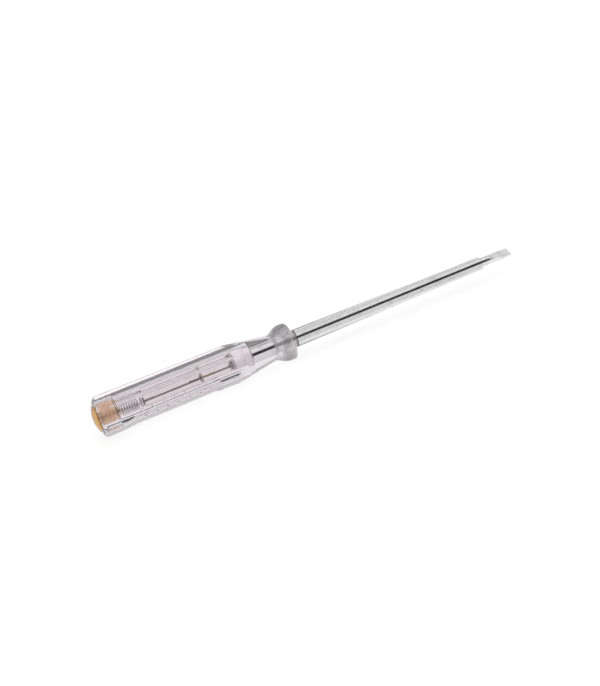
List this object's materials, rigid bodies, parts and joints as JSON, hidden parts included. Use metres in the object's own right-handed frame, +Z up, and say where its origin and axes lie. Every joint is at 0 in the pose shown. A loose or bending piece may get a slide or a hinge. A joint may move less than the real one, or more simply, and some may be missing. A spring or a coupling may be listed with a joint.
{
  "type": "voltage tester screwdriver",
  "caption": "Slotted screwdriver with an insulated shaft and a clear six-sided handle that holds a neon lamp, a resistor and a spring under a brass touch cap.",
  "frame": {"origin": "under the middle of the whole length, on the surface that the tool lies on", "axes": "+X along the tool from the end cap to the blade's tip, +Z up from the flat that the handle lies on"},
  "size_m": [0.19, 0.0158, 0.0149],
  "materials": {
    "clear_plastic": "clear moulded plastic, glossy, faint lilac tint",
    "sleeve_plastic": "clear moulded plastic, glossy",
    "chrome": "bright plated steel, ground satin at the blade",
    "brass": "polished brass",
    "pale_brass": "pale brass, satin",
    "spring_steel": "plated spring wire",
    "tinned_steel": "tinned steel, slightly tarnished",
    "nickel": "dark nickel electrode",
    "lamp_glass": "clear glass with a faint warm tint",
    "glass_bead": "dark fused glass bead",
    "mica": "thin mica sheet",
    "resistor_ceramic": "coated ceramic resistor",
    "white_plastic": "white moulded plastic, satin"
  },
  "bodies": {
    "handle": {"handle_body": "clear_plastic", "insulating_sleeve": "sleeve_plastic", "blade_shaft": "chrome", "resistor_bush": "white_plastic", "resistor_cap_rear": "tinned_steel", "resistor_body": "resistor_ceramic", "resistor_cap_front": "tinned_steel", "shaft_contact_disc": "brass"},
    "lamp": {"lamp_terminal_rear": "tinned_steel", "lamp_glass": "lamp_glass", "lamp_lead_rear": "tinned_steel", "lamp_electrode_rear": "nickel", "lamp_bead": "glass_bead", "lamp_spacer": "mica", "lamp_electrode_front": "brass", "lamp_lead_front": "tinned_steel", "lamp_terminal_front": "tinned_steel"},
    "cap_disc": {"cap_contact_disc": "pale_brass", "contact_spring": "spring_steel"},
    "cap": {"end_cap": "brass"}
  },
  "joints": [
    {"name": "cap_travel", "type": "slide", "parent": "handle", "child": "cap_disc", "axis": [-1, 0, 0], "range_m": [0, 0.00637]},
    {"name": "cap_turn", "type": "hinge", "parent": "cap_disc", "child": "cap", "pos_m": [-0.0933, 0, 0.00745], "axis": [-1, 0, 0], "range_deg": [0, 3060]},
    {"name": "lamp_float", "type": "slide", "parent": "handle", "child": "lamp", "axis": [-1, 0, 0], "range_m": [0, 0.002], "stiffness_N_per_m": 150, "springref_m": -0.005, "deforming": ["contact_spring"]}
  ],
  "couplings": [
    {"joint": "cap_turn", "follows": "cap_travel", "rad_per_m": 8377.6}
  ]
}
